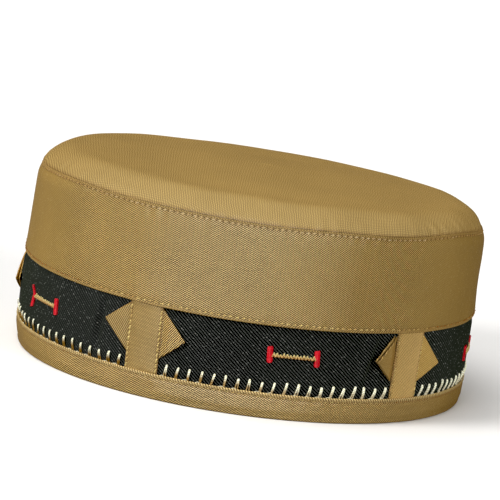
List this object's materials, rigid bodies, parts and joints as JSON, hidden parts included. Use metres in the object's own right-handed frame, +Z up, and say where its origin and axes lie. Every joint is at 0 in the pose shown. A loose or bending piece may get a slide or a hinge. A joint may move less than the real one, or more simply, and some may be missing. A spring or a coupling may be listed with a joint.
{
  "type": "kufi cap",
  "caption": "Round brimless cloth cap: oval twill crown and side panel, black band with upright straps and folded points, open underneath for the head.",
  "frame": {"origin": "middle of the oval opening, on the plane that the hem rests on", "axes": "+Z up towards the crown; the oval's long axis is X; the front that the picture shows faces -Y, between the two front straps"},
  "size_m": [0.2041, 0.1771, 0.0915],
  "materials": {
    "tan_twill": "tan cotton twill with a fine diagonal rib and a slight sheen",
    "black_denim": "black denim with grey diagonal lines",
    "gold_thread": "golden sewing thread",
    "cream_thread": "cream cotton thread",
    "red_thread": "red satin stitch"
  },
  "bodies": {
    "root": {"crown": "tan_twill", "side_panel": "tan_twill", "black_band": "black_denim", "hem_band": "tan_twill", "strap_1": "tan_twill", "strap_2": "tan_twill", "strap_3": "tan_twill", "strap_4": "tan_twill", "strap_5": "tan_twill", "point_1_left": "tan_twill", "point_1_right": "tan_twill", "point_2_left": "tan_twill", "point_2_right": "tan_twill", "point_3_left": "tan_twill", "point_3_right": "tan_twill", "point_4_left": "tan_twill", "point_4_right": "tan_twill", "point_5_left": "tan_twill", "point_5_right": "tan_twill"}
  },
  "joints": []
}
